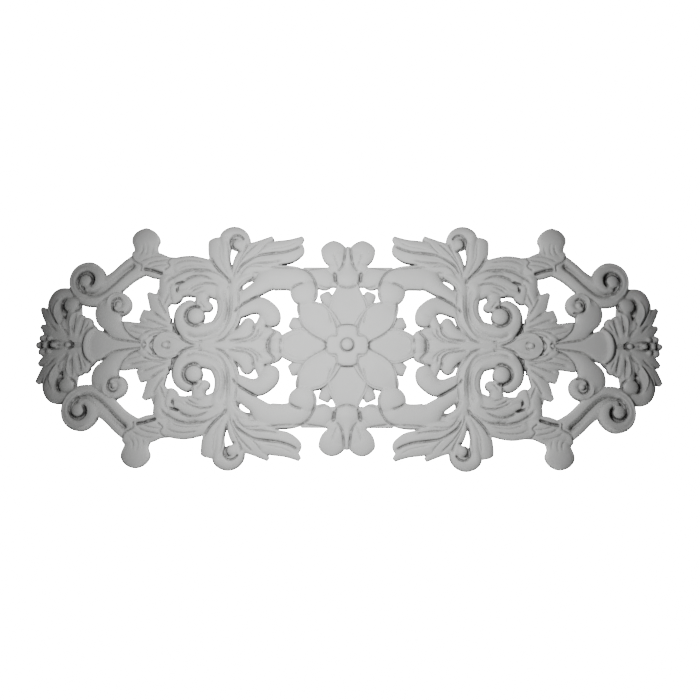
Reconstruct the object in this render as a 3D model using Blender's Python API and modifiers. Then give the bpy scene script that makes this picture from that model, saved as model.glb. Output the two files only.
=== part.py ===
"""Carved scrollwork applique: a pierced rosette panel, cast in one piece.

The panel stands upright, as on a wall. X runs along its width and Z up its height. Its flat back
lies in the plane Y = 0, the carving faces -Y, and the origin is the middle of the back.
One quarter is drawn, outward and upward from the middle, and mirrored to the other three.
Each member is a strip that follows a spine, with a half-width and a crest height at each point.
"""

import math

import bmesh
import bpy
from mathutils import Vector

# Driving sizes in millimetres
MM = 0.001
DEPTH = 25.0
BEHIND = 5.0          # how far the members run behind the wall plane before the back is cut flat
APART = 0.02          # each member runs this much farther back than the one before
BUTTON_BEHIND = 3.0
GRAIN = 1.3           # the size of the smallest fillet where members meet
KEPT = 0.0086         # share of the fine faces that carries the form
BACK_BLOCK = (1200.0, 40.0, 500.0)

# How finely the members are stepped
DENSE = 16
STEP = 17.0
TURN = math.radians(30.0)
SWELL = 3.5
CAP_ANGLES = (0.0, 35.0, 65.0, 88.0)
CAP_CLEAR = 1.5       # the last section before a round end stands at least this far from it
CAP_DROP = 0.18       # share of the height that a round end loses at its very tip
THINNEST = 0.04       # share of the half-width left at the very tip
WIDER = 2.0           # each member is this much wider on each side than its spine points say
TIGHT = 0.9           # share of a bend's inner radius that a member may fill
SLACK = 1e-6

# Cross-sections: place across the member, and share of the crest's height there
ROUND = ((-1.0, 0.55), (-0.9, 0.75), (-0.6, 0.9), (0.0, 1.0), (0.6, 0.9), (0.9, 0.75), (1.0, 0.55))
RIDGE = ((-1.0, 0.55), (0.0, 1.0), (1.0, 0.55))
DISHED = ((-1.0, 0.78), (-0.8, 1.0), (-0.4, 0.78), (0.4, 0.78), (0.8, 1.0), (1.0, 0.78))
FLAT = ((-1.0, 0.8), (-0.85, 1.0), (0.85, 1.0), (1.0, 0.8))


def around(centre, *knots):
    """Spine points around a scroll's centre; a knot is an angle, a radius, a half-width and a height."""
    points = []
    for angle, radius, half, height in knots:
        a = math.radians(angle)
        points.append((centre[0] + radius * math.cos(a), centre[1] + radius * math.sin(a), half, height))
    return points


# Rosette: name, cross-section, end, the angle, reach and half-breadth of each leaf, and its spine points as
# shares of the reach and the breadth
ROSETTE = (
    ("tall_petal", DISHED, "square", ((90, 100, 27.5),),
     ((0.10, 0.40, 12), (0.36, 0.88, 13), (0.50, 1.0, 13.5), (0.60, 0.99, 14), (0.70, 0.87, 14),
      (0.80, 0.67, 14), (0.90, 0.50, 13), (1.0, 0.34, 12))),
    ("side_petal", DISHED, "square", ((0, 98, 24),),
     ((0.10, 0.45, 12), (0.45, 0.86, 13), (0.62, 0.96, 13.5), (0.72, 1.0, 14), (0.81, 0.92, 14),
      (0.90, 0.76, 14), (1.0, 0.50, 12))),
    ("slant_petal", DISHED, "round", ((41.5, 97, 21.7),),
     ((0.12, 0.40, 13), (0.31, 0.72, 15), (0.47, 0.94, 16), (0.62, 1.0, 16.5), (0.72, 0.93, 16.5),
      (0.82, 0.70, 16), (0.92, 0.42, 14), (1.0, 0.25, 13))),
    ("sepal", ROUND, "square", ((66.5, 87.5, 7), (23.5, 92, 7.4)),
     ((0.30, 0.9, 9), (0.6, 1.0, 10), (0.92, 1.0, 10.5), (1.0, 0.7, 9))),
    ("quatrefoil", FLAT, "square", ((90, 29.5, 15), (0, 30.5, 14)),
     ((0.0, 0.9, 17), (0.72, 1.0, 17.5), (0.86, 0.90, 17), (1.0, 0.45, 16))),
)

# Members of a quarter: name, cross-section, end, and spine points (outward, upward, half-width, height)
END_LEAF = (
    ("lower_tip", RIDGE, "point", [(404, 3, 7, 10), (420, 12, 9, 12), (436, 20.5, 8.5, 12),
                                   (452, 29, 0.8, 8)]),
    ("upper_tip", RIDGE, "point", [(405, 8, 6, 10), (420, 24, 10, 13), (436, 39.5, 9.3, 13),
                                   (453, 56, 0.8, 8)]),
    ("hood", ROUND, "round", [(408, 10, 5, 11), (421, 30, 7, 14), (431, 47, 8, 15), (432, 62, 9, 15),
                              (425, 74.5, 9, 14), (412, 77.5, 6.5, 13), (402, 74, 5, 12)]),
    ("stem", RIDGE, "round", [(405, 4, 5, 11), (408, 22, 6, 13), (405, 40, 7, 14), (403, 54, 9, 14)]),
    ("inner_lobe", RIDGE, "round", [(400, 4, 5, 10), (399, 20, 6, 13), (394, 34, 6, 13), (387, 44, 5, 12)]),
    ("inner_tip", RIDGE, "round", [(394, 4, 5, 10), (390, 18, 5, 12), (384, 31, 6, 13), (379, 41, 5, 12)]),
    ("fan_side", RIDGE, "round", [(392, 8, 4, 10), (385, 20, 5, 12), (373, 31, 4, 11)]),
)
FAN = (
    ("fan", FLAT, "round", [(296, 0, 4, 11), (312, 0, 4.5, 11), (326, 0, 6, 11), (338, 0, 8, 11),
                            (347, 0, 12.5, 11), (356, 0, 17.5, 11), (366, 0, 22.5, 11), (387, 0, 26, 11)]),
    ("fan_rim", ROUND, "round", [(369, 27, 3, 12), (378, 20, 3.5, 14), (382.5, 10, 4, 15), (383.5, 0, 4, 15),
                                 (382.5, -10, 4, 15)]),
)
END_ARM = (
    ("arm", ROUND, "round", [(303, 117, 8, 12), (313, 112, 9, 13), (326, 103, 9.5, 14), (340, 90, 9.5, 15),
                             (356, 77, 9.5, 15)]
     + around((386, 98), (-118, 32.5, 8.6, 15), (-85, 28.2, 7.8, 16), (-50, 23, 6.5, 16), (0, 19.2, 6, 16),
              (50, 18.3, 7, 16), (100, 18.5, 7.5, 16), (150, 18.3, 7.2, 16), (195, 17.3, 7, 16),
              (240, 16, 5.5, 15), (285, 12, 4, 15))),
    ("rail", RIDGE, "round", [(317, 133, 4, 11), (331, 121, 4.5, 12), (347.3, 105.3, 4.6, 12),
                              (370, 88.5, 5.5, 13)]),
)
KNOB_LEAF = (
    ("knob", ROUND, "round", [(297, 122, 20, 12), (300.5, 138, 16, 13), (302, 148, 15.2, 15),
                              (302.5, 160, 19.2, 17), (301.8, 178.5, 19, 16)]),
    ("base_leaf", ROUND, "round", [(320, 134, 3, 12), (309, 124, 9, 13), (293, 119, 12.5, 14),
                                   (278, 118, 14, 14), (256, 126, 9, 12)]),
    ("neck_bump", ROUND, "round", [(298, 134, 6, 11), (310, 137, 5.5, 12), (323, 139, 4.6, 12)]),
    ("neck_flare", ROUND, "point", [(294, 132, 8, 12), (282, 132, 7, 12), (268, 129, 4, 12),
                                    (252, 130, 1, 12)]),
)
SMALL_SCROLL = (
    ("scroll_body", ROUND, "round", [(302, 5, 2, 11), (320, 10, 4, 11.5), (336, 18.5, 8.5, 12),
                                     (347.5, 31, 15.3, 13), (351.5, 43, 19.3, 13), (357.5, 70, 15.8, 12)]),
    ("scroll", ROUND, "round", around((337, 60), (-10, 17, 7, 13), (30, 15.5, 7, 15), (80, 12.5, 5.5, 16),
     (130, 11.2, 5.3, 16), (180, 10.8, 5.3, 16), (230, 10, 4.8, 16), (280, 8.5, 4.2, 16),
     (340, 5.5, 3.5, 16))),
)
EYE_LEAF = (
    ("calyx", DISHED, "round", [(196, 0, 3, 12), (214, 0, 3.5, 12), (228, 0, 5, 13), (238, 0, 9.5, 14),
                                (248, 0, 14, 15), (258, 0, 18, 15), (268, 0, 18.5, 15), (284, 0, 15, 15)]),
    ("outer_hug", RIDGE, "point", [(304, 4, 3, 13), (299, 11, 3.5, 15), (291, 16, 3.5, 15), (280, 20, 3, 14),
                                   (266, 23, 1, 12)]),
    ("collar", RIDGE, "square", [(286, 14, 3, 14), (293, 7, 3.5, 15), (295, 0, 3.5, 15), (293, -7, 3.5, 15)]),
)
OUTER_LEAF = (
    ("low_lobe", ROUND, "square", [(256, 25, 5, 12), (275, 25, 7, 13), (293, 23, 9.5, 14),
                                   (310, 21, 11.5, 13), (327, 26, 9, 11), (334, 29, 6.5, 11)]),
    ("second_lobe", RIDGE, "square", [(260, 33, 6, 12), (276, 36, 8, 14), (291, 41, 8.5, 13),
                                      (304.5, 46, 7, 11)]),
    ("third_lobe", RIDGE, "point", [(270, 36, 7, 12), (275, 50, 9, 14), (281.5, 63, 10.5, 13),
                                    (295.5, 79, 0.8, 11)]),
    ("fourth_lobe", ROUND, "round", [(272, 62, 6, 12), (267, 77, 10, 14), (268, 92, 10.2, 14),
                                     (270.5, 110, 8.5, 12)]),
    ("back_lobe", ROUND, "round", [(266, 92, 6, 12), (258, 80, 10.5, 13), (254, 62.5, 9, 12)]),
    ("crest_lobe", ROUND, "round", [(186, 107, 5, 12), (200, 117, 8, 13), (218, 122, 9.5, 14),
                                    (238, 124, 10.5, 14), (264, 120, 10, 12)]),
    ("valley", ROUND, "round", [(200, 106, 5, 11), (225, 108, 8, 12), (246, 104, 9, 12), (258, 92, 8, 12)]),
)
INNER_LEAF = (
    ("top_lobe", ROUND, "point", [(178, 92, 6, 14), (192, 103, 6, 16), (208, 106, 5.5, 16), (221, 105, 4, 14),
                                  (231, 109.5, 0.8, 12)]),
    ("mid_lobe", ROUND, "point", [(178, 86, 7, 14), (196, 96, 7, 16), (216, 98, 6, 16), (232, 94, 6, 14),
                                  (246, 87, 5, 13), (256, 88, 1.5, 12)]),
    ("low_lobe_a", ROUND, "round", [(186, 82, 8, 14), (206, 89, 7, 16), (224, 86, 6, 15), (240, 81, 4.5, 13),
                                    (256, 77, 4, 12)]),
    ("low_lobe_b", ROUND, "round", [(190, 77, 7, 14), (206, 82, 6, 16), (220, 80.5, 4.5, 15),
                                    (236, 78.5, 3.5, 13)]),
)
C_SCROLL = (
    ("band", ROUND, "round", [(190, 92, 10, 16), (185.5, 76, 8.5, 17), (183.3, 62, 7.2, 17),
                              (183.3, 50, 7.2, 17), (186, 39, 8, 17)] + around((222, 43), (207, 33.3, 9, 17),
                              (230, 26.5, 9.3, 17), (262, 23, 10.5, 18), (292, 23.5, 11.5, 18),
                              (325, 24, 10.5, 18), (355, 23.3, 8.5, 18), (385, 22, 7.5, 18),
                              (415, 19.5, 7, 17), (445, 17.5, 6, 16))),
    ("outer_rib", ROUND, "point", [(166, 108, 7, 13), (167, 88, 8, 14), (166, 66, 9, 15), (167, 48, 9, 15),
                                   (171, 32, 8, 14), (180, 18, 6, 13), (192, 9, 5, 12), (212, 5, 4, 12)]),
    ("small_leaf", RIDGE, "round", [(222, 61, 6, 15), (212, 60, 6.5, 15), (199, 55.5, 4, 12)]),
    ("leaf_stem", ROUND, "round", [(213, 88, 8, 14), (215, 72, 8, 14), (215, 54, 8, 14)]),
)
TOP_CLUSTER = (
    ("left_lobe", ROUND, "square", [(174, 103, 5, 13), (186, 118, 8, 14), (193.5, 134, 11, 15),
                                    (196, 152, 11, 15), (196.5, 160.5, 9.5, 14), (197, 163.5, 5.5, 13)]),
    ("curl", ROUND, "round", [(172, 104, 6, 13), (179.5, 118, 5, 14), (182.5, 134, 4.6, 15),
                              (182, 148, 5.4, 16)]
                              + around((167.5, 156), (30, 17, 7.5, 17), (75, 15.5, 8, 17), (120, 14.5, 7, 17),
                              (165, 13.5, 6.5, 17), (210, 11.5, 5, 16), (260, 7, 4, 16))),
    ("middle_leaf", RIDGE, "point", [(166, 108, 5, 13), (160, 124, 9, 14), (150, 140, 10, 15),
                                     (131, 151, 7, 14), (112, 165, 0.8, 11)]),
    ("big_leaf_top", RIDGE, "point", [(160, 112, 4, 12), (148, 128, 7, 14), (130, 142, 10, 15),
                                      (108, 148.5, 8, 15), (88, 152, 7, 14), (76, 157.5, 5, 13),
                                      (67, 165, 0.8, 11)]),
    ("big_leaf_low", RIDGE, "round", [(160, 108, 4, 12), (146, 120, 6, 14), (126, 127.5, 7.5, 14),
                                      (104, 133, 8.5, 15), (86, 139, 10.5, 14), (67.7, 154, 9.5, 12)]),
)
INNER_ARM = (
    ("brow", ROUND, "round", [(172, 79, 4, 13), (165, 91.5, 5, 14), (154, 101.5, 5, 14), (140, 107, 5, 13)]),
    ("shoulder", RIDGE, "round", [(169.5, 105.5, 4.5, 12), (155.5, 112.5, 6.5, 14), (137, 117.5, 5.5, 15),
                                  (104, 116, 5, 14)]),
    ("arm", ROUND, "round", [(170, 54, 6, 12), (159, 68, 7.5, 13), (146.5, 77.5, 8.3, 14),
                             (131.5, 88, 9.7, 15), (117, 100.3, 15.5, 16), (99, 103, 16, 16),
                             (83, 102.2, 16.3, 16), (70, 96, 17, 16), (64.5, 81, 15.5, 15)]),
)
HOOK_LOBES = (
    ("hook", ROUND, "round", [(171, 47, 5.5, 12), (156, 53, 8, 13), (142, 59.5, 9.3, 14),
                              (129, 60.3, 11, 15), (119, 54, 11.5, 16), (113.5, 46, 12.5, 16),
                              (114.2, 37, 12.2, 15), (117, 29, 9, 13)]),
    ("hook_root", ROUND, "round", [(124, 44, 4, 12), (127, 34, 5, 13), (131, 24, 6, 13), (140, 14, 6, 12)]),
    ("low_hook", ROUND, "round", [(178, 7.5, 5, 12), (166, 12.5, 6.5, 14), (154, 19, 7.8, 15),
                                  (147, 30, 8, 14), (144.5, 42, 6.5, 12)]),
    ("axis_rib", ROUND, "round", [(216, 0, 3, 12), (190, 0, 6, 13), (165, 0, 9, 13), (140, 0, 11, 13),
                                  (118, 0, 12, 13)]),
    ("axis_lobe", ROUND, "round", [(160, 7, 5, 12), (146, 11, 7, 14), (131, 17, 9.5, 15), (118, 17.5, 8, 14),
                                   (106, 15.5, 6.5, 13), (97, 11, 5, 12)]),
)
LINK = (
    ("link", ROUND, "round", [(66, 110, 6, 11), (54, 105, 11, 12), (42, 103, 14, 13), (31, 101.5, 15.5, 13),
                              (21, 103, 12, 12)]),
    ("side_lobe", ROUND, "round", [(8, 106, 4, 12), (14, 119, 14.5, 13), (15.5, 127, 12.5, 14),
                                   (21, 138, 15.5, 14.5), (21.5, 147, 18, 14), (21.8, 160, 16.6, 12.5)]),
    ("middle_stem", RIDGE, "round", [(0, 104, 5, 13), (0, 122, 3.5, 14), (0, 138, 3.5, 14), (0, 151, 3, 12)]),
    ("middle_lobe", ROUND, "round", [(0, 122, 4, 13), (0, 110, 13, 15), (0, 101, 18, 16), (0, 87.5, 15, 15)]),
)
WEBS = (
    ("leaf_web", FLAT, "round", [(396, -6, 16, 8), (404, 16, 24, 8), (412, 38, 19, 8), (412, 76, 15, 8)]),
    ("berry_web", FLAT, "round", [(404, 0, 14, 6), (430, 0, 14, 6), (452, 0, 10, 6)]),
    ("outer_web", FLAT, "round", [(248, 14, 8, 8), (268, 30, 9, 8), (277, 58, 8, 8), (266, 90, 10, 8),
                                  (240, 114, 12, 8), (206, 114, 12, 8), (184, 100, 12, 8)]),
    ("neck_web", FLAT, "square", [(310, 128, 12, 8), (284, 122, 13, 8), (256, 118, 14, 8),
                                  (238, 116, 16, 8)]),
    ("inner_web", FLAT, "round", [(180, 90, 16, 9), (210, 92, 16, 9), (240, 86, 10, 9), (257, 84, 8, 9)]),
    ("rib_web", FLAT, "square", [(172, 112, 14, 9), (172, 84, 14, 9), (170, 62, 14, 9)]),
    ("rib_web_low", FLAT, "square", [(172, 70, 9, 9), (176, 42, 9, 9), (190, 20, 10, 9), (214, 10, 10, 9),
                                     (240, 16, 8, 9)]),
    ("curl_web", FLAT, "square", [(174, 102, 9, 9), (184, 120, 8, 9), (188, 150, 8, 9)]),
    ("collar_web", FLAT, "square", [(306, 0, 6, 9), (292, 0, 16, 9), (262, 0, 20, 9)]),
    ("axis_web", FLAT, "round", [(226, 0, 8, 9), (180, 0, 14, 9), (150, 0, 18, 9), (100, 0, 18, 9)]),
    ("boss_web", FLAT, "square", [(84, 0, 13, 9), (110, 0, 13, 9)]),
    ("arm_web", FLAT, "square", [(176, 106, 6, 9), (152, 107, 6, 9), (130, 107, 8, 9), (104, 108, 8, 9)]),
    ("arm_root_web", FLAT, "square", [(172, 54, 10, 9), (158, 62, 8, 9), (147, 74, 7, 9)]),
    ("link_web", FLAT, "square", [(66, 104, 13, 9), (20, 104, 13, 9), (-6, 104, 13, 9)]),
    ("trefoil_web", FLAT, "square", [(2, 104, 10, 9), (3, 125, 10, 9), (5, 149, 6, 9)]),
)

# Buttons: name, centre, half-sizes, and the heights of the rim and of the top
BUTTONS = (
    ("rosette_plate", (0, 0), (66, 66), 8, 9),
    ("centre_button", (0, 0), (8.5, 8.5), 21.5, DEPTH),
    ("volute_back", (386, 98), (18, 18), 8, 8.5),
    ("scroll_back", (338, 60), (13, 13), 8, 8.5),
    ("curl_back", (165, 157), (13, 13), 8, 8.5),
    ("c_back", (229, 43), (19, 20), 9, 9.5),
    ("volute_eye", (388, 96), (9.5, 9.5), 11, 17),
    ("leaf_ball", (407, 60), (11.5, 11.5), 9, 15),
    ("scroll_eye", (337, 60), (4.5, 4.5), 12, 17),
    ("curl_eye", (163, 153), (8, 8), 11, 17),
    ("c_eye", (222, 43), (12.5, 12.5), 13, 21),
    ("arm_ball", (64.2, 80), (21, 20), 10, 18),
    ("axis_boss", (104.5, 0), (8.5, 13.5), 9, 15),
    ("eye_pip", (266, 0), (5, 5), 12, 17),
    ("fan_pip", (409, 0), (5, 5), 10, 15),
    ("berry_tip", (452.2, 0), (5.6, 5.4), 7, 12),
    ("berry_top", (447, 10), (6.4, 6.2), 8, 13),
    ("berry_mid", (442.5, 1.5), (5.4, 5.4), 9, 14),
    ("berry_low", (436.5, 9.5), (5.6, 5.6), 9, 14),
    ("berry_stalk", (430, 0), (7, 4.8), 9, 14),
)


def smooth(points):
    """A dense Catmull-Rom line through the spine points."""
    last = len(points) - 1
    line = []
    for i in range(last):
        a, b, c, d = (points[min(max(k, 0), last)] for k in (i - 1, i, i + 1, i + 2))
        for s in range(DENSE):
            t = s / DENSE
            line.append(tuple(
                0.5 * (2 * q + (r - p) * t + (2 * p - 5 * q + 4 * r - u) * t * t
                       + (3 * q - p - 3 * r + u) * t ** 3)
                for p, q, r, u in zip(a, b, c, d)))
    line.append(tuple(points[-1]))
    return line


def travelled(line):
    """The length from the root to each point of a dense line."""
    lengths = [0.0]
    for a, b in zip(line, line[1:]):
        lengths.append(lengths[-1] + math.hypot(b[0] - a[0], b[1] - a[1]))
    return lengths


def stations(line, end):
    """The sections along a dense line: place, side direction, half-widths on both sides, and height."""
    lengths = travelled(line)
    total = lengths[-1]
    cap = min(line[-1][2] + WIDER, total / 2) if end == "round" else 0.0
    ways = [Vector((b[0] - a[0], b[1] - a[1])).normalized() for a, b in zip(line, line[1:])]
    ways.append(ways[-1])
    chosen = [0]
    turned = 0.0
    for i in range(1, len(line) - 1):
        if lengths[i] >= total - cap:
            break
        turned += ways[i - 1].angle(ways[i], 0.0)
        last = chosen[-1]
        if lengths[i] - lengths[last] > STEP or turned > TURN or abs(line[i][2] - line[last][2]) > SWELL:
            chosen.append(i)
            turned = 0.0
    marks = [(lengths[i], 1.0) for i in chosen if total - cap - lengths[i] > CAP_CLEAR or i == 0]
    if cap:
        for degrees in CAP_ANGLES:
            a = math.radians(degrees)
            marks.append((total - cap + cap * math.sin(a), math.cos(a)))
    else:
        marks.append((total, 1.0))
    found = []
    k = 0
    for place, share in marks:
        while k < len(line) - 2 and lengths[k + 1] < place:
            k += 1
        length = max(lengths[k + 1] - lengths[k], SLACK)
        t = (place - lengths[k]) / length
        x, z, half, height = (a + (b - a) * t for a, b in zip(line[k], line[k + 1]))
        way = ways[k]
        after = ways[min(k + 1, len(ways) - 1)]
        curve = (way.x * after.y - way.y * after.x) / length
        half = (half + WIDER) * max(share, THINNEST)
        inner = min(half, TIGHT / max(abs(curve), SLACK))
        right, left = (half, inner) if curve > 0 else (inner, half)
        found.append((x, z, Vector((-way.y, way.x)), right, left, height * (1.0 - CAP_DROP * (1.0 - share))))
    return found


def strip(name, section, end, points, offset):
    """A closed member: sections along the spine, joined side to side, running through the back."""
    bm = bmesh.new()
    rings = []
    for x, z, side, right, left, height in stations(smooth(points), end):
        ring = []
        for across, share in ((-1.0, None), *section, (1.0, None)):
            reach = across * (left if across > 0 else right)
            depth = BEHIND + offset if share is None else -share * height
            ring.append(bm.verts.new((x + side.x * reach, depth, z + side.y * reach)))
        rings.append(ring)
    count = len(rings[0])
    for a, b in zip(rings, rings[1:]):
        for i in range(count):
            j = (i + 1) % count
            bm.faces.new((a[i], a[j], b[j], b[i]))
    bm.faces.new(rings[0])
    bm.faces.new(reversed(rings[-1]))
    return finished(bm, name)


def button(name, centre, reach, base, top, offset):
    """A domed boss on a straight wall that runs through the back."""
    bm = bmesh.new()
    bmesh.ops.create_uvsphere(bm, u_segments=12, v_segments=6, radius=1.0)
    for v in bm.verts:
        x, y, front = v.co
        depth = -(base + (top - base) * front) if front > -SLACK else BUTTON_BEHIND + offset
        v.co = (centre[0] + x * reach[0], depth, centre[1] + y * reach[1])
    return finished(bm, name)


def finished(bm, name):
    """The member as an object of its own, in metres, facing out."""
    bmesh.ops.scale(bm, vec=(MM, MM, MM), verts=bm.verts)
    bmesh.ops.recalc_face_normals(bm, faces=bm.faces)
    mesh = bpy.data.meshes.new(name)
    bm.to_mesh(mesh)
    bm.free()
    return bpy.data.objects.new(name, mesh)


def rosette():
    """The rosette's petals, sepals and quatrefoil, each along its own ray."""
    members = []
    for kind, section, end, leaves, spine in ROSETTE:
        for angle, reach, broad in leaves:
            members.append((f"{kind}_{angle:.0f}", section, end, ray(angle, reach, broad, spine)))
    return members


def ray(angle, reach, broad, spine):
    """Spine points along a ray from the middle, as shares of the reach and the breadth."""
    a = math.radians(angle)
    return [(math.cos(a) * reach * r, math.sin(a) * reach * r, broad * w, h) for r, w, h in spine]


def plaster():
    """Off-white moulded plaster look."""
    material = bpy.data.materials.new("primed_white")
    material.use_nodes = True
    shader = material.node_tree.nodes["Principled BSDF"]
    shader.inputs["Base Color"].default_value = (0.78, 0.78, 0.77, 1.0)
    shader.inputs["Roughness"].default_value = 0.6
    shader.inputs["Metallic"].default_value = 0.0
    return material


def back_block(collection):
    """The block behind the wall plane, which cuts the back flat."""
    bm = bmesh.new()
    bmesh.ops.create_cube(bm, size=1.0)
    bmesh.ops.scale(bm, vec=BACK_BLOCK, verts=bm.verts)
    bmesh.ops.translate(bm, vec=(0.0, BACK_BLOCK[1] / 2, 0.0), verts=bm.verts)
    block = finished(bm, "back_block")
    block.hide_render = True
    block.display_type = "WIRE"
    collection.objects.link(block)
    return block


def main():
    for thing in list(bpy.data.objects):
        bpy.data.objects.remove(thing, do_unlink=True)
    scene = bpy.context.scene.collection
    applique = bpy.data.collections.new("carved_applique")
    members = bpy.data.collections.new("quarter_members")
    tools = bpy.data.collections.new("back_cutter")
    for collection in (applique, members, tools):
        scene.children.link(collection)

    rows = [*WEBS, *END_LEAF, *FAN, *END_ARM, *KNOB_LEAF, *SMALL_SCROLL, *EYE_LEAF, *OUTER_LEAF, *INNER_LEAF,
            *C_SCROLL, *TOP_CLUSTER, *INNER_ARM, *HOOK_LOBES, *LINK, *rosette()]
    made = [strip(*row, APART * i) for i, row in enumerate(rows)]
    made += [button(*row, APART * i) for i, row in enumerate(BUTTONS)]
    for piece in made[1:]:
        piece.hide_render = True
        piece.display_type = "WIRE"
        members.objects.link(piece)

    panel = made[0]
    panel.name = "applique"
    applique.objects.link(panel)
    panel.data.materials.append(plaster())
    join = panel.modifiers.new("members", "BOOLEAN")
    join.operation = "UNION"
    join.operand_type = "COLLECTION"
    join.collection = members
    join.solver = "EXACT"
    skin = panel.modifiers.new("fillets", "REMESH")
    skin.mode = "VOXEL"
    skin.voxel_size = GRAIN * MM
    facets = panel.modifiers.new("facets", "DECIMATE")
    facets.ratio = KEPT
    back = panel.modifiers.new("flat_back", "BOOLEAN")
    back.operation = "DIFFERENCE"
    back.object = back_block(tools)
    back.solver = "EXACT"
    quarters = panel.modifiers.new("quarters", "MIRROR")
    quarters.use_axis = (True, False, True)
    quarters.use_bisect_axis = (True, False, True)
    quarters.merge_threshold = 0.00001


if __name__ == "__main__":
    main()
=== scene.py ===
"""Carved scrollwork applique: the finished carving, its primer and its stage.

The panel stands upright, as on a wall: X along its width, Z up its height, its flat back in the plane Y = 0
and its carving facing -Y. A quarter is carved, outward and upward from the middle, and mirrored.
"""

import math

import bmesh
import bpy
import numpy as np
from mathutils import Matrix, Vector


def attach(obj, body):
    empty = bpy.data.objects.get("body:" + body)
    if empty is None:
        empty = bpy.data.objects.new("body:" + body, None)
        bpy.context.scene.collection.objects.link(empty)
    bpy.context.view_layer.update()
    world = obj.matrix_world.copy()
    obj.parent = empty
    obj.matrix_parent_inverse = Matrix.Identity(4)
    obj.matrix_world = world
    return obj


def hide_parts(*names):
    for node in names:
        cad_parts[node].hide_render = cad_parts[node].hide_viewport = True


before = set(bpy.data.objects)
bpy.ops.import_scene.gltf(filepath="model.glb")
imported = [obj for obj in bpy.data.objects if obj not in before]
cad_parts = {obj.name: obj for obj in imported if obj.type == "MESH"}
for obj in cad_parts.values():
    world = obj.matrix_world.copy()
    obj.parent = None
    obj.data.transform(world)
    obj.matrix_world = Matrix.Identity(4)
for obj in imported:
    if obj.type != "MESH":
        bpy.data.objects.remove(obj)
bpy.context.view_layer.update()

bl_info = {
    "name": "Carved applique",
    "version": (1, 0, 0),
    "blender": (4, 5, 0),
    "location": "View3D > Sidebar > Applique",
    "description": "Carves a pierced scrollwork applique with a rosette and sets its stage",
    "category": "Object",
}

MM = 0.001

# How finely the members are stepped, in millimetres and degrees
DENSE = 12
STEP = 4.0
TURN = math.radians(9.0)
SWELL = 1.5
CAP_ANGLES = (0.0, 15.0, 30.0, 45.0, 60.0, 72.0, 82.0, 88.0)
CAP_CLEAR = 0.5       # the last section before a round end stands at least this far from it
CAP_DROP = 0.25       # share of the height that a round end loses at its very tip
THINNEST = 0.04       # share of the half-width left at the very tip
WIDER = 2.4           # what rubbing down takes off each side
TIGHT = 0.9           # share of a bend's inner radius that a member may fill
SLACK = 1e-6          # a hair's breadth, which also keeps divisors off zero
DOME_SIDES = 32
DOME_RINGS = 16
RUB = 0.5             # share of the way to its neighbours' middle that one rubbing down moves a point
FLAT_WITHIN = 0.45    # points this close to the wall plane lie in it
SNAP = 0.3            # a cut edge this close to a mirror plane lies in it
MERGED = 0.00001      # points this close are one
BACK_FACING = 0.9     # faces turned this squarely to the wall belong to the flat back

# How lines are engraved, in millimetres and in shares of facing the viewer
FADE = 6.0            # length over which a line runs out
BROAD = 1.4           # how much farther than its half-width a line's shoulders reach
SOFT = 1.4            # how softly the shoulders fall in
FACING_FROM = 0.15    # faces turned less than this to the front take no line
FACING_OVER = 0.35    # over this much more the line comes to its full depth

# The primer: its unevenness, its grain, and where the shade painted in its creases, hollows and on its walls
# begins
CLOUD_SCALE = 55.0
CLOUD_DETAIL = 4.0
CLOUD_ROUGH = 0.12    # how much the unevenness changes the roughness
SPECK_SCALE = 900.0
SPECK_DETAIL = 3.0
SPECK_HEIGHT = 0.0003
SHINE = 0.35
OPEN_SAMPLES = 16
PAINTED_HOLLOW_REACH = 4.0    # how many times farther than a crease the painted shade of a broad hollow is felt
# openness over which the painted crease shade fades out
PAINTED_CREASE_OPEN = (0.35, 0.92)
# facing over which the painted shade of steep walls comes in
PAINTED_WALL_FACING = (-0.75, -0.15)

# The stage, in metres and in the camera's millimetres
FLOOR_RADIUS = 0.55
FLOOR_SIDES = 96
FLOOR_GREY = 0.9
SENSOR = 36.0


def crown(edge, power, crest=()):
    """A section that is full in the middle and rolls off to its edges, with an optional sharp crest."""
    places = [-1.0, -0.97, -0.9, -0.78, -0.6, -0.35, *crest, 0.35, 0.6, 0.78, 0.9, 0.97, 1.0]
    return [(a, edge + (1.0 - edge) * max(0.0, 1.0 - abs(a) ** power) ** (1.0 / power)) for a in places]


# Cross-sections: place across the member, and share of the crest's height there
ROUND = crown(0.50, 2.0, (0.0,))
FLAT = crown(0.70, 4.0)
RIDGE = [(a, 0.70 + 0.20 * (1.0 - abs(a) ** 5) + 0.10 * (1.0 - abs(a))) for a in
         (-1.0, -0.97, -0.9, -0.75, -0.5, -0.2, 0.0, 0.2, 0.5, 0.75, 0.9, 0.97, 1.0)]
DISHED = [(-1.0, 0.72), (-0.97, 0.88), (-0.92, 0.97), (-0.85, 0.98), (-0.74, 0.88), (-0.5, 0.83), (0.0, 0.84),
          (0.5, 0.83), (0.74, 0.88), (0.85, 0.98), (0.92, 0.97), (0.97, 0.88), (1.0, 0.72)]


def around(centre, *knots):
    """Spine points around a scroll's centre; a knot is an angle, a radius, a half-width and a height."""
    points = []
    for angle, radius, half, height in knots:
        a = math.radians(angle)
        points.append((centre[0] + radius * math.cos(a), centre[1] + radius * math.sin(a), half, height))
    return points


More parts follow.
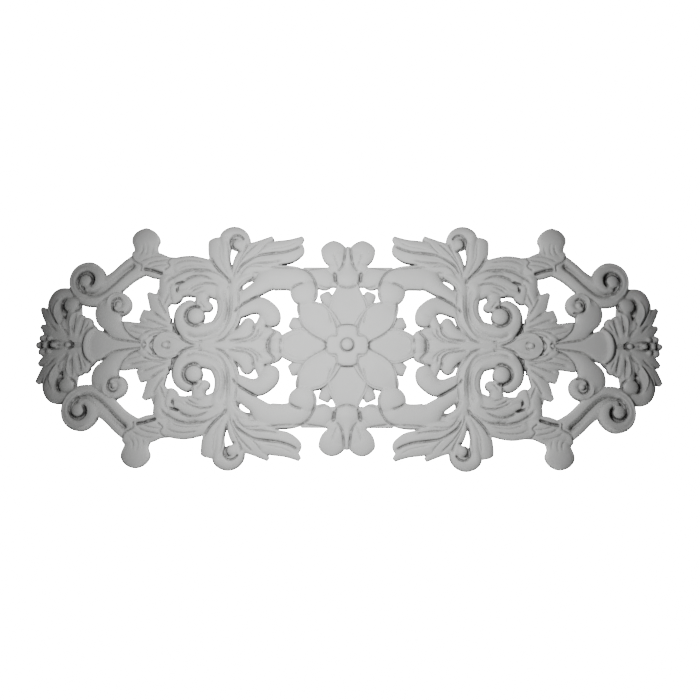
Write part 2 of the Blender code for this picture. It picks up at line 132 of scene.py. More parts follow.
# Members of a quarter: name, cross-section, end, and spine points (outward, upward, half-width, height)
END_LEAF = (
    ("lower_tip", RIDGE, "point", [(404, 3, 7, 10), (420, 12, 9, 12), (436, 20.5, 8.5, 12),
                                   (452, 29, 0.8, 8)]),
    ("upper_tip", RIDGE, "point", [(405, 8, 6, 10), (420, 24, 10, 13), (436, 39.5, 9.3, 13),
                                   (453, 56, 0.8, 8)]),
    ("hood", ROUND, "round", [(408, 10, 5, 11), (421, 30, 7, 14), (431, 47, 8, 15), (432, 62, 9, 15),
                              (425, 74.5, 9, 14), (412, 77.5, 6.5, 13), (402, 74, 5, 12)]),
    ("stem", RIDGE, "round", [(405, 4, 5, 11), (408, 22, 6, 13), (405, 40, 7, 14), (403, 54, 9, 14)]),
    ("inner_lobe", RIDGE, "round", [(400, 4, 5, 10), (399, 20, 6, 13), (394, 34, 6, 13), (387, 44, 5, 12)]),
    ("inner_tip", RIDGE, "round", [(394, 4, 5, 10), (390, 18, 5, 12), (384, 31, 6, 13), (379, 41, 5, 12)]),
    ("fan_side", RIDGE, "round", [(392, 8, 4, 10), (385, 20, 5, 12), (373, 31, 4, 11)]),
)
FAN = (
    ("fan", FLAT, "round", [(296, 0, 4, 11), (312, 0, 4.5, 11), (326, 0, 6, 11), (338, 0, 8, 11),
                            (347, 0, 12.5, 11), (356, 0, 17.5, 11), (366, 0, 22.5, 11), (387, 0, 26, 11)]),
    ("fan_rim", ROUND, "round", [(369, 27, 3, 12), (378, 20, 3.5, 14), (382.5, 10, 4, 15), (383.5, 0, 4, 15),
                                 (382.5, -10, 4, 15)]),
)
END_ARM = (
    ("arm", ROUND, "round", [(303, 117, 8, 12), (313, 112.5, 8.5, 13), (326.6, 103.8, 8.7, 14),
                             (340.6, 90.7, 8.8, 15), (356, 77, 9.5, 15)]
     + around((386, 98), (-118, 32.5, 8.6, 15), (-85, 28.2, 7.8, 16), (-50, 23, 6.5, 16), (0, 19.2, 6, 16),
              (50, 18.3, 7, 16), (100, 18.5, 7.5, 16), (150, 18.3, 7.2, 16), (195, 17.3, 7, 16),
              (240, 16, 5.5, 15), (285, 12, 4, 15))),
    ("rail", RIDGE, "round", [(317, 133, 4, 11), (331, 121, 4.5, 12), (347.3, 105.3, 4.6, 12),
                              (370, 88.5, 5.5, 13)]),
)
KNOB_LEAF = (
    ("knob", ROUND, "round", [(297, 122, 20, 12), (300.5, 138, 16, 13), (302, 148, 15.2, 15),
                              (302.5, 160, 19.2, 17), (301.8, 178.5, 19, 16)]),
    ("base_leaf", ROUND, "round", [(320, 134, 3, 12), (309, 124, 9, 13), (293, 119, 12.5, 14),
                                   (278, 118, 14, 14), (256, 126, 9, 12)]),
    ("neck_bump", ROUND, "round", [(298, 134, 6, 11), (310, 137, 5.5, 12), (323, 139, 4.6, 12)]),
    ("neck_flare", ROUND, "point", [(294, 132, 8, 12), (282, 132, 7, 12), (268, 129, 4, 12),
                                    (252, 130, 1, 12)]),
)
SMALL_SCROLL = (
    ("scroll_body", ROUND, "round", [(302, 5, 2, 11), (320, 10, 4, 11.5), (336, 18.5, 8.5, 12),
                                     (346.3, 32, 13, 13), (351, 43.5, 18.7, 13), (357.5, 70, 15.8, 12)]),
    ("scroll", ROUND, "round", around((337, 60), (-10, 17, 7, 13), (30, 15.5, 7, 15), (80, 12.5, 5.5, 16),
     (130, 11.2, 5.3, 16), (180, 10.8, 5.3, 16), (230, 10, 4.8, 16), (280, 8.5, 4.2, 16),
     (340, 5.5, 3.5, 16))),
)
EYE_LEAF = (
    ("calyx", DISHED, "round", [(196, 0, 3, 12), (214, 0, 3.5, 12), (228, 0, 5, 13), (238, 0, 9.5, 14),
                                (248, 0, 14, 15), (258, 0, 18, 15), (268, 0, 18.5, 15), (284, 0, 15, 15)]),
    ("outer_hug", RIDGE, "point", [(304, 4, 3, 13), (299, 11, 3.5, 15), (291, 16, 3.5, 15), (280, 20, 3, 14),
                                   (266, 23, 1, 12)]),
    ("collar", RIDGE, "square", [(286, 14, 3, 14), (293, 7, 3.5, 15), (295, 0, 3.5, 15), (293, -7, 3.5, 15)]),
)
OUTER_LEAF = (
    ("low_lobe", ROUND, "square", [(256, 25, 5, 12), (275, 25, 7, 13), (293, 23, 9.5, 14),
                                   (310, 21, 11.5, 13), (327, 26, 9, 11), (334, 29, 6.5, 11)]),
    ("second_lobe", RIDGE, "square", [(260, 33, 6, 12), (276, 36, 8, 14), (291, 41, 8.5, 13),
                                      (304.5, 46, 7, 11)]),
    ("third_lobe", RIDGE, "point", [(270, 36, 7, 12), (275, 50, 9, 14), (281.5, 63, 10.5, 13),
                                    (295.5, 79, 0.8, 11)]),
    ("fourth_lobe", ROUND, "round", [(272, 62, 6, 12), (267, 77, 10, 14), (268, 92, 10.2, 14),
                                     (270.5, 110, 8.5, 12)]),
    ("back_lobe", ROUND, "round", [(266, 92, 6, 12), (258, 80, 10.5, 13), (254, 62.5, 9, 12)]),
    ("crest_lobe", ROUND, "round", [(186, 107, 5, 12), (200, 117, 8, 13), (218, 122, 9.5, 14),
                                    (238, 124, 10.5, 14), (264, 120, 10, 12)]),
    ("valley", ROUND, "round", [(200, 106, 5, 11), (225, 108, 8, 12), (246, 104, 9, 12), (258, 92, 8, 12)]),
)
INNER_LEAF = (
    ("top_lobe", ROUND, "point", [(178, 92, 6, 14), (192, 103, 6, 16), (208, 106, 5.5, 16), (221, 105, 4, 14),
                                  (231, 109.5, 0.8, 12)]),
    ("mid_lobe", ROUND, "point", [(178, 86, 7, 14), (196, 96, 7, 16), (216, 98, 6, 16), (232, 94, 6, 14),
                                  (246, 87, 5, 13), (256, 88, 1.5, 12)]),
    ("low_lobe_a", ROUND, "round", [(186, 82, 8, 14), (206, 89, 7, 16), (224, 86, 6, 15), (240, 81, 4.5, 13),
                                    (256, 77, 4, 12)]),
    ("low_lobe_b", ROUND, "round", [(190, 77, 7, 14), (206, 82, 6, 16), (220, 80.5, 4.5, 15),
                                    (236, 78.5, 3.5, 13)]),
)
C_SCROLL = (
    ("band", ROUND, "round", [(190, 92, 10, 16), (185.5, 76, 8.5, 17), (183.3, 62, 7.2, 17),
                              (183.3, 50, 7.2, 17), (186, 39, 8, 17)] + around((222, 43), (207, 33.3, 9, 17),
                              (230, 26.5, 9.3, 17), (262, 23, 10.5, 18), (292, 23.5, 11.5, 18),
                              (325, 24, 10.5, 18), (355, 23.3, 8.5, 18), (385, 22, 7.5, 18),
                              (415, 19.5, 7, 17), (445, 17.5, 6, 16))),
    ("outer_rib", ROUND, "point", [(166, 108, 7, 13), (167, 88, 8, 14), (166, 66, 9, 15), (167, 48, 9, 15),
                                   (171, 32, 8, 14), (180, 18, 6, 13), (192, 9, 5, 12), (212, 5, 4, 12)]),
    ("small_leaf", RIDGE, "round", [(222, 61, 6, 15), (212, 60, 6.5, 15), (199, 55.5, 4, 12)]),
    ("leaf_stem", ROUND, "round", [(213, 88, 8, 14), (215, 72, 8, 14), (215, 54, 8, 14)]),
)
TOP_CLUSTER = (
    ("left_lobe", ROUND, "square", [(174, 103, 5, 13), (186, 118, 8, 14), (193.5, 134, 11, 15),
                                    (196, 152, 11, 15), (196.5, 160.5, 9.5, 14), (197, 163.5, 5.5, 13)]),
    ("curl", ROUND, "round", [(172, 104, 6, 13), (179.5, 118, 5, 14), (182.5, 134, 4.6, 15),
                              (182, 148, 5.4, 16)]
                              + around((167.5, 156), (30, 17, 7.5, 17), (75, 15.5, 8, 17), (120, 14.5, 7, 17),
                              (165, 13.5, 6.5, 17), (210, 11.5, 5, 16), (260, 7, 4, 16))),
    ("middle_leaf", RIDGE, "point", [(166, 108, 5, 13), (160, 124, 9, 14), (150, 140, 10, 15),
                                     (131, 151, 7, 14), (112, 165, 0.8, 11)]),
    ("big_leaf_top", RIDGE, "point", [(160, 112, 4, 12), (148, 128, 7, 14), (130, 142, 10, 15),
                                      (108, 148.5, 8, 15), (88, 152, 7, 14), (76, 157.5, 5, 13),
                                      (67, 165, 0.8, 11)]),
    ("big_leaf_low", RIDGE, "round", [(160, 108, 4, 12), (146, 120, 6, 14), (126, 127.5, 7.5, 14),
                                      (104, 133, 8.5, 15), (86, 139, 10.5, 14), (67.7, 154, 9.5, 12)]),
)
INNER_ARM = (
    ("brow", ROUND, "round", [(172, 79, 4, 13), (165, 91.5, 5, 14), (154, 101.5, 5, 14), (140, 107, 5, 13)]),
    ("shoulder", RIDGE, "round", [(169.5, 105.5, 4.5, 12), (155.5, 112.5, 6.5, 14), (137, 117.5, 5.5, 15),
                                  (104, 116, 5, 14)]),
    ("arm", ROUND, "round", [(170, 54, 6, 12), (159, 68, 7.5, 13), (146.5, 77.5, 8.3, 14),
                             (131.5, 88, 9.7, 15), (117, 100.3, 15.5, 16), (99, 103, 16, 16),
                             (83, 102.2, 16.3, 16), (70, 96, 17, 16), (64.5, 81, 15.5, 15)]),
)
HOOK_LOBES = (
    ("hook", ROUND, "round", [(171, 47, 5.5, 12), (156, 53, 8, 13), (142, 59.5, 9.3, 14),
                              (129, 60.3, 11, 15), (119, 54, 11.5, 16), (113.5, 46, 12.5, 16),
                              (114.2, 37, 12.2, 15), (117, 29, 9, 13)]),
    ("hook_root", ROUND, "round", [(124, 44, 4, 12), (127, 34, 5, 13), (131, 24, 6, 13), (140, 14, 6, 12)]),
    ("low_hook", ROUND, "round", [(178, 7.5, 5, 12), (166, 12.5, 6.5, 14), (154, 19, 7.8, 15),
                                  (147, 30, 8, 14), (144.5, 42, 6.5, 12)]),
    ("axis_rib", ROUND, "round", [(216, 0, 3, 12), (190, 0, 6, 13), (165, 0, 9, 13), (140, 0, 11, 13),
                                  (118, 0, 12, 13)]),
    ("axis_lobe", ROUND, "round", [(160, 7, 5, 12), (146, 11, 7, 14), (131, 17, 9.5, 15), (118, 17.5, 8, 14),
                                   (106, 15.5, 6.5, 13), (97, 11, 5, 12)]),
)
LINK = (
    ("link", ROUND, "round", [(66, 110, 6, 11), (54, 105, 11, 12), (42, 103, 14, 13), (31, 101.5, 15.5, 13),
                              (21, 103, 12, 12)]),
    ("side_lobe", ROUND, "round", [(8, 106, 4, 12), (14, 119, 14.5, 13), (15.5, 127, 12.5, 14),
                                   (21, 138, 15.5, 14.5), (21.5, 147, 18, 14), (21.8, 160, 16.6, 12.5)]),
    ("middle_stem", RIDGE, "round", [(0, 104, 5, 13), (0, 122, 3.5, 14), (0, 138, 3.5, 14), (0, 151, 3, 12)]),
    ("middle_lobe", ROUND, "round", [(0, 122, 4, 13), (0, 110, 13, 15), (0, 101, 18, 16), (0, 87.5, 15, 15)]),
)

# Webs, which join the members behind their edges: name, end, height, and spine points without a height
WEBS = (
    ("leaf_web", "round", 8, [(396, -6, 16), (404, 16, 24), (412, 38, 19), (412, 76, 15)]),
    ("berry_web", "round", 6, [(404, 0, 14), (430, 0, 14), (452, 0, 10)]),
    ("outer_web", "round", 8, [(248, 14, 8), (268, 30, 9), (277, 58, 8), (266, 90, 10), (240, 114, 12),
                               (206, 114, 12), (184, 100, 12)]),
    ("neck_web", "square", 8, [(310, 128, 12), (284, 122, 13), (256, 118, 14), (238, 116, 16)]),
    ("inner_web", "round", 9, [(180, 90, 16), (210, 92, 16), (240, 86, 10), (257, 84, 8)]),
    ("rib_web", "square", 9, [(172, 112, 14), (172, 84, 14), (170, 62, 14)]),
    ("rib_web_low", "square", 9, [(172, 70, 9), (176, 42, 9), (190, 20, 10), (214, 10, 10), (240, 16, 8)]),
    ("curl_web", "square", 9, [(174, 102, 9), (184, 120, 8), (188, 150, 8)]),
    ("collar_web", "square", 9, [(306, 0, 6), (292, 0, 16), (262, 0, 20)]),
    ("axis_web", "round", 9, [(226, 0, 8), (180, 0, 14), (150, 0, 18), (100, 0, 18)]),
    ("boss_web", "square", 9, [(84, 0, 13), (110, 0, 13)]),
    ("arm_web", "square", 9, [(176, 106, 6), (152, 107, 6), (130, 107, 8), (104, 108, 8)]),
    ("arm_root_web", "square", 9, [(172, 54, 10), (158, 62, 8), (147, 74, 7)]),
    ("link_web", "square", 9, [(66, 104, 13), (20, 104, 13), (-6, 104, 13)]),
    ("trefoil_web", "square", 9, [(2, 104, 10), (3, 125, 10), (5, 149, 6)]),
)

# Buttons: name, centre, half-sizes, and the heights of the rim and of the top
BUTTONS = (
    ("rosette_plate", (0, 0), (66, 66), 8, 9),
    ("centre_button", (0, 0), (8.5, 8.5), 20, 25),
    ("volute_back", (386, 98), (18, 18), 8, 8.5),
    ("scroll_back", (338, 60), (13, 13), 8, 8.5),
    ("curl_back", (165, 157), (13, 13), 8, 8.5),
    ("c_back", (229, 43), (19, 20), 9, 9.5),
    ("volute_eye", (388, 96), (9.5, 9.5), 11, 17),
    ("leaf_ball", (407, 60), (11.5, 11.5), 9, 15),
    ("scroll_eye", (337, 60), (4.5, 4.5), 12, 17),
    ("curl_eye", (163, 153), (8, 8), 11, 17),
    ("c_eye", (222, 43), (12.5, 12.5), 13, 21),
    ("arm_ball", (64.2, 80), (21, 20), 10, 18),
    ("axis_boss", (104.5, 0), (8.5, 13.5), 9, 15),
    ("eye_pip", (266, 0), (5, 5), 12, 17),
    ("fan_pip", (409, 0), (5, 5), 10, 15),
    ("berry_tip", (452.2, 0), (5.6, 5.4), 4, 13),
    ("berry_top", (447, 10), (6.2, 6), 5, 14),
    ("berry_mid", (442.5, 1.5), (5, 5), 6, 15),
    ("berry_low", (436.5, 9.5), (5.4, 5.4), 6, 15),
    ("berry_stalk", (430, 0), (6, 4.8), 7, 15),
)
MEMBERS = (*END_LEAF, *FAN, *END_ARM, *KNOB_LEAF, *SMALL_SCROLL, *EYE_LEAF, *OUTER_LEAF, *INNER_LEAF,
           *C_SCROLL, *TOP_CLUSTER, *INNER_ARM, *HOOK_LOBES, *LINK)

# Rosette: name, cross-section, end, the angle, reach and half-breadth of each leaf, and its spine points as
# shares of the reach and the breadth
ROSETTE = (
    ("tall_petal", DISHED, "square", ((90, 100, 27.5),),
     ((0.10, 0.40, 12), (0.24, 0.64, 13), (0.36, 0.88, 13), (0.50, 1.0, 13.5), (0.60, 0.99, 14),
      (0.70, 0.87, 14), (0.80, 0.67, 14), (0.90, 0.50, 13), (1.0, 0.34, 12))),
    ("side_petal", DISHED, "square", ((0, 98, 24),),
     ((0.10, 0.45, 12), (0.25, 0.64, 13), (0.45, 0.86, 13), (0.62, 0.96, 13.5), (0.72, 1.0, 14),
      (0.81, 0.92, 14), (0.90, 0.76, 14), (0.97, 0.60, 13), (1.0, 0.50, 12))),
    ("slant_petal", DISHED, "round", ((41.5, 97, 21.7),),
     ((0.12, 0.40, 13), (0.31, 0.72, 15), (0.47, 0.94, 16), (0.62, 1.0, 16.5), (0.72, 0.93, 16.5),
      (0.82, 0.70, 16), (0.92, 0.42, 14), (1.0, 0.25, 13))),
    ("sepal", ROUND, "square", ((66.5, 87.5, 7), (23.5, 92, 7.4)),
     ((0.30, 0.9, 9), (0.6, 1.0, 10), (0.92, 1.0, 10.5), (0.97, 0.9, 10), (1.0, 0.7, 9))),
    ("quatrefoil", FLAT, "square", ((90, 29.5, 15), (0, 30.5, 14)),
     ((0.0, 0.9, 17), (0.4, 1.0, 17.5), (0.72, 1.0, 17.5), (0.86, 0.90, 17), (0.95, 0.72, 16.5),
      (1.0, 0.45, 16))),
)

# Engraved lines: half-width, depth, which ends fade, and points; a raised line has a negative depth
LINES = (
    # end volute: the spiral, the channel along the arm, and the arm's rim
    (2.6, 4.5, "start", [(383, 88), (378, 92), (376.5, 99), (380, 106), (387, 109), (395, 105.5), (400, 97),
                         (399.5, 89), (395, 82), (388, 77.5), (379, 75.5)]),
    (5.4, 5.2, "both", [(388, 77.5), (379, 75.5), (370, 76.5), (362, 80.5), (354, 87), (344, 96.5),
                        (334, 107), (325, 115), (316, 122)]),
    (1.8, -2.0, "both", [(372, 118), (386, 122), (400, 118), (409, 106), (410, 92), (403, 76), (390, 66)]),
    # knob, its flutes, and the edge of its leaf over the arm
    (1.6, 2.5, "none", [(322, 134), (320, 129.5), (316, 126), (310, 123), (306.5, 119.5), (307, 113)]),
    (1.6, 1.8, "both", [(302, 119), (292, 125), (280, 128), (262, 130)]),
    (1.5, 1.6, "both", [(300, 113), (290, 118), (278, 121), (262, 122)]),
    (1.5, 1.6, "both", [(309, 126), (297, 132), (286, 135), (276, 134)]),
    (1.5, 1.6, "both", [(312, 136), (306, 142), (305, 152)]),
    (1.5, 1.2, "both", [(303, 134), (299, 142), (299, 154)]),
    (1.5, 1.4, "both", [(293, 134), (291, 143), (290, 152)]),
    (1.8, 2.6, "none", [(263, 133), (268.5, 126), (265, 120), (271, 114)]),
    (3.0, 6.0, "none", [(301, 115), (290.8, 113), (277, 108.5)]),
    # small scroll
    (2.0, 4.0, "start", [(331, 65), (338, 69.5), (345, 66), (347, 60), (345, 53), (338, 48.5), (330, 48.5)]),
    (1.4, -1.5, "both", [(330, 74), (342, 77), (351, 70), (354, 60)]),
    (1.6, 2.0, "both", [(352, 72), (362, 66), (371, 57)]),
    (1.6, 2.6, "none", [(334, 46), (331, 34), (328, 25), (318, 14), (303, 6)]),
    (1.8, 2.6, "none", [(374, 29), (366, 24), (357, 20.5), (345, 11), (328, 7), (303, 4)]),
    # end leaf
    (2.8, 3.4, "both", [(415, 72), (420, 65), (421, 58), (418, 51), (411, 49)]),
    (2.2, 3.5, "both", [(397, 66), (396, 58), (400, 51), (406, 48)]),
    (2.6, 2.6, "both", [(412, 46), (418, 40), (421, 31), (414, 20), (408, 12)]),
    (2.0, -2.0, "both", [(424, 68), (430, 56), (430, 44), (423, 31), (412, 22)]),
    (1.8, 2.4, "both", [(440, 60), (438, 50), (432, 40), (424, 28)]),
    (1.8, 2.4, "both", [(441, 32), (434, 28), (426, 19)]),
    (2.4, 2.6, "both", [(399, 48), (401, 38), (402, 28), (402, 16)]),
    (2.4, 2.4, "both", [(389, 43), (389, 34), (391, 24), (395, 12)]),
    (1.6, 2.0, "both", [(380, 36), (382, 30), (388, 20)]),
    (2.2, 3.5, "both", [(370, 28), (379, 23), (385, 15), (387.5, 6), (388, -3)]),
    (2.0, -1.8, "both", [(404, 12), (406, 24), (407, 36), (404, 46)]),
    (2.0, 4.0, "both", [(411, 6), (405, 4.5), (402, 0), (402, -3)]),
    (1.6, 2.2, "both", [(436, 5), (426, 6), (416, 5)]),
    # berries
    (1.6, 1.6, "none", [(447, 5), (447, -3)]),
    (1.6, 1.6, "none", [(437, 4.5), (437, -3)]),
    # eye leaf: its edge, its pip and its arcs
    (1.8, 3.2, "both", [(303, 4), (297, 4), (294, 0), (294, -3)]),
    (1.6, 2.6, "both", [(300, 16), (291, 21), (281, 24), (266, 27)]),
    (1.6, 2.4, "both", [(294, 9), (288, 14), (278, 18), (262, 21)]),
    (1.6, 2.4, "both", [(268, 5.5), (261, 4.5), (259.5, 0), (260, -3)]),
    (1.4, 1.8, "both", [(282, 11), (286, 5), (286.5, 0), (286.5, -3)]),
    (1.6, 2.4, "both", [(276, 21), (262, 19), (249, 15), (238, 10), (228, 6), (210, 5)]),
    (1.4, -1.4, "both", [(264, 13), (250, 10), (240, 5), (232, 0), (230, -3)]),
    # outer leaf
    (2.6, 3.2, "both", [(270, 93), (263, 100), (256, 105), (244, 111), (228, 114), (212, 113)]),
    (1.6, 2.0, "both", [(259, 122), (246, 127), (230, 128), (212, 125)]),
    (1.5, 1.6, "both", [(254, 114), (240, 119), (222, 120), (206, 117)]),
    (2.0, 2.6, "both", [(262, 84), (264, 76), (268, 68), (272, 58)]),
    (2.0, 2.6, "both", [(282, 74), (277, 64), (271, 54), (264, 44)]),
    (2.0, 2.6, "both", [(288, 50), (281, 46), (273, 40), (264, 34)]),
    (1.8, 2.4, "both", [(300, 39), (288, 36), (276, 31), (262, 26)]),
    (2.2, 2.6, "both", [(321, 30), (306, 27), (290, 24), (270, 21.5), (254, 18)]),
    (1.5, 1.6, "both", [(326, 24), (312, 19), (298, 16)]),
    (1.8, 2.2, "both", [(256, 96), (262, 88), (262, 76), (258, 64)]),
    # inner leaf
    (1.8, 2.6, "both", [(244, 97), (234, 102), (224, 104.5), (212, 103), (198, 97)]),
    (1.7, 2.4, "both", [(236, 82), (226, 88), (214, 92), (200, 92), (190, 88)]),
    (1.6, 2.2, "both", [(233, 78), (222, 85), (212, 88)]),
    (1.6, 2.2, "both", [(228, 75), (218, 79), (208, 81)]),
    (2.2, 5.0, "both", [(240, 96), (245, 95), (252, 93), (258, 92)]),
    (2.0, 5.0, "both", [(251, 92), (251.5, 86), (253, 77)]),
    # the inner leaf's root, and the edge of the scroll's rib
    (1.6, 2.2, "both", [(232, 109), (220, 114), (204, 112), (190, 106), (180, 98)]),
    (2.0, 2.2, "both", [(202, 75), (206, 70), (207, 64)]),
    (1.6, 2.2, "both", [(222, 66), (216, 63), (208, 52)]),
    # C-scroll: the crease at its foot, the channel round it, its rims and its button
    (2.6, 4.5, "both", [(256, 45), (254.5, 32), (250, 20), (242.6, 10.5), (233.5, 4), (222, 0)]),
    (4.8, 4.4, "both", [(184, 84), (179, 74), (176.5, 62), (176, 50), (179, 38), (184, 29), (192, 21),
                        (203, 15), (215, 11.5), (226, 11.5), (238, 17)]),
    (1.6, -1.6, "both", [(190, 74), (183, 64), (182, 52), (186, 40), (194, 31)]),
    (2.0, -2.0, "both", [(168, 76), (167, 60), (168, 45), (172, 32), (181, 18), (190, 10)]),
    (2.6, 4.5, "both", [(214, 55), (222, 57), (231, 54.5), (237, 47), (237, 38), (231, 31), (222, 28),
                        (214, 30)]),
    (1.8, 2.4, "both", [(162, 84), (160, 66), (160, 48), (164, 32), (172, 20), (182, 9), (196, 4)]),
    # top cluster
    (2.2, 3.6, "both", [(206, 134), (203, 130.4), (197, 120.2), (189.6, 111.4), (179.4, 101.2), (172, 92)]),
    (1.4, 1.4, "both", [(192, 156), (191, 144), (190, 132), (184, 118), (176, 104)]),
    (1.6, 2.0, "both", [(181, 160), (176.8, 147), (175.4, 133.4), (172.9, 120.2), (170, 108)]),
    (2.0, 4.0, "start", [(157.8, 141.5), (167.8, 143), (173.7, 149.6), (174.6, 157), (171.2, 163.7),
                         (166.3, 165.9), (160, 164.5), (155.5, 160)]),
    (1.6, 2.2, "both", [(150, 158), (150.5, 150), (154, 142), (160, 130), (166, 118)]),
    (1.7, 2.4, "both", [(134, 156), (137.4, 151.2), (145.1, 143.8), (153.4, 134.9), (161.6, 123.2),
                        (167, 111.4), (169.5, 99.8)]),
    (1.4, 1.8, "both", [(121.2, 156), (125.3, 148.2), (133.6, 139.4), (143, 132)]),
    (2.2, 3.8, "both", [(68, 153), (75, 148), (84, 143.9), (98.2, 140.2), (119.4, 137.9), (133.5, 135),
                        (147.5, 127.6), (158.6, 118.8), (165.4, 105.6)]),
    (1.7, 2.4, "both", [(96, 128.5), (108, 126), (119.1, 124.7), (138.9, 123.2), (151.5, 115.9),
                        (161.1, 102.7)]),
    (1.3, 1.2, "both", [(76, 158), (88, 151), (104, 147), (118, 145)]),
    # inner arm and its ball
    (1.7, 2.6, "both", [(118, 118.5), (104, 117.5), (90, 116.5), (76, 116)]),
    (2.0, 3.4, "both", [(85, 83), (78, 88.3), (71, 91.5), (62, 93.6)]),
    (2.0, 3.2, "both", [(78, 117), (66, 115.5), (58, 110.5), (53, 104.5), (48.1, 94.2), (45.2, 81.2),
                        (49, 68)]),
    (1.6, 2.0, "both", [(163, 104), (158, 112), (150, 118), (138, 119.5), (122, 118)]),
    (1.6, 1.8, "both", [(134, 104), (146, 101), (158, 92), (166, 78)]),
    (2.2, 4.5, "both", [(136, 101), (140, 101.5), (150, 95), (158, 86), (162, 78)]),
    # hooks
    (2.2, 4.0, "both", [(130, 74.5), (140.5, 69.4), (153, 62.1), (160, 56.4), (168, 47)]),
    (1.6, 2.2, "both", [(150, 38), (155, 32), (160, 27), (168, 22)]),
    (2.0, 3.0, "both", [(136.2, 32), (136.7, 27.8), (138.6, 17.8), (147.5, 10.7), (161.4, 7.8), (176, 7)]),
    (1.8, 2.6, "both", [(130.6, 28), (131, 22.1), (132.3, 15), (141.9, 7.8), (154.3, 5), (168, 4)]),
    (1.6, 2.2, "both", [(124, 24), (126, 16), (134, 9), (146, 4)]),
    (2.4, 3.8, "none", [(109, 24.5), (106.5, 19.5), (111, 14), (115, 8.5), (116.7, 2.3), (117, -3)]),
    (1.4, 1.8, "both", [(98, 17), (97.5, 8), (98, 0), (98, -3)]),
    # trefoil and link
    (2.0, 3.0, "both", [(3.3, 152), (4.2, 142), (4.7, 135.2), (8.8, 119.1), (17.2, 109.5)]),
    (1.4, 1.6, "both", [(21, 141), (19, 131), (15, 121), (11, 115)]),
    (3.0, 4.5, "none", [(19.6, 108.6), (18.3, 103), (18, 98)]),
    (1.7, 2.4, "none", [(18.5, 101), (17.2, 97), (12.4, 90.4), (3.6, 87.2), (-3, 87)]),
    (1.7, 2.2, "both", [(28, 121), (38, 118), (50, 116), (62, 114)]),
    (1.7, 2.2, "both", [(46, 92), (35.4, 87.5), (25.9, 86.6), (20.3, 90.4)]),
    # rosette: petals' outlines, quatrefoil and ring
    (1.5, 1.8, "none", [(15, 88), (19.5, 77.3), (25, 67.5), (28, 57.7), (27.5, 47.9), (23.9, 35)]),
    (1.7, 2.6, "none", [(72.6, 62.5), (71.3, 51.1), (69.1, 38.9), (64.2, 26.8), (57, 19.6), (47.4, 13.1),
                        (34.8, 6.8), (30, 3)]),
    (1.6, 2.2, "none", [(51.1, 63.3), (40, 60.9), (30.4, 54.4), (22.4, 43.1), (16.8, 30.2), (14.5, 22)]),
    (1.5, 1.8, "none", [(97, 13), (88.5, 17.8), (79.1, 21.9), (69.7, 23.9), (62, 22.5)]),
    (1.6, 2.4, "none", [(-3, 30.5), (6, 30), (12.5, 28.5), (16, 22.5), (15.8, 14.4), (25.4, 13.8), (30.1, 8),
                        (31, 0), (31, -3)]),
    (1.4, 1.8, "none", [(-3, 9.5), (4, 8.8), (8.6, 4.2), (9.5, 0), (9.5, -3)]),
    (1.3, -1.0, "both", [(92, 0), (91, 8), (86, 13), (78, 17), (68, 18.5)]),
)


def smooth(points):
    """A dense Catmull-Rom line through the points."""
    last = len(points) - 1
    line = []
    for i in range(last):
        a, b, c, d = (points[min(max(k, 0), last)] for k in (i - 1, i, i + 1, i + 2))
        for s in range(DENSE):
            t = s / DENSE
            line.append(tuple(
                0.5 * (2 * q + (r - p) * t + (2 * p - 5 * q + 4 * r - u) * t * t
                       + (3 * q - p - 3 * r + u) * t ** 3)
                for p, q, r, u in zip(a, b, c, d)))
    line.append(tuple(points[-1]))
    return line


def stations(line, end):
    """The frames that carry a member's section along a dense line: across, along, height and place."""
    lengths = [0.0]
    for a, b in zip(line, line[1:]):
        lengths.append(lengths[-1] + math.hypot(b[0] - a[0], b[1] - a[1]))
    total = lengths[-1]
    cap = min(line[-1][2] + WIDER, total / 2) if end == "round" else 0.0
    ways = [Vector((b[0] - a[0], b[1] - a[1])).normalized() for a, b in zip(line, line[1:])]
    ways.append(ways[-1])
    chosen = [0]
    turned = 0.0
    for i in range(1, len(line) - 1):
        if lengths[i] >= total - cap:
            break
        turned += ways[i - 1].angle(ways[i], 0.0)
        last = chosen[-1]
        if lengths[i] - lengths[last] > STEP or turned > TURN or abs(line[i][2] - line[last][2]) > SWELL:
            chosen.append(i)
            turned = 0.0
    marks = [(lengths[i], 1.0) for i in chosen if total - cap - lengths[i] > CAP_CLEAR or i == 0]
    if cap:
        for degrees in CAP_ANGLES:
            a = math.radians(degrees)
            marks.append((total - cap + cap * math.sin(a), math.cos(a)))
    else:
        marks.append((total, 1.0))
    frames = []
    k = 0
    for place, share in marks:
        while k < len(line) - 2 and lengths[k + 1] < place:
            k += 1
        length = max(lengths[k + 1] - lengths[k], SLACK)
        t = (place - lengths[k]) / length
        x, z, half, height = (a + (b - a) * t for a, b in zip(line[k], line[k + 1]))
        way = ways[k]
        after = ways[min(k + 1, len(ways) - 1)]
        curve = (way.x * after.y - way.y * after.x) / length
        half = (half + WIDER) * max(share, THINNEST)
        inner = min(half, TIGHT / max(abs(curve), SLACK))
        shift = math.copysign((half - inner) / 2, -curve)
        side = Vector((-way.y, 0.0, way.x))
        height *= 1.0 - CAP_DROP * (1.0 - share)
        frames.append(Matrix((
            (side.x * (half + inner) / 2, way.x, 0.0, x + side.x * shift),
            (0.0, 0.0, -height, 0.0),
            (side.z * (half + inner) / 2, way.y, 0.0, z + side.z * shift),
            (0.0, 0.0, 0.0, 1.0))))
    return frames


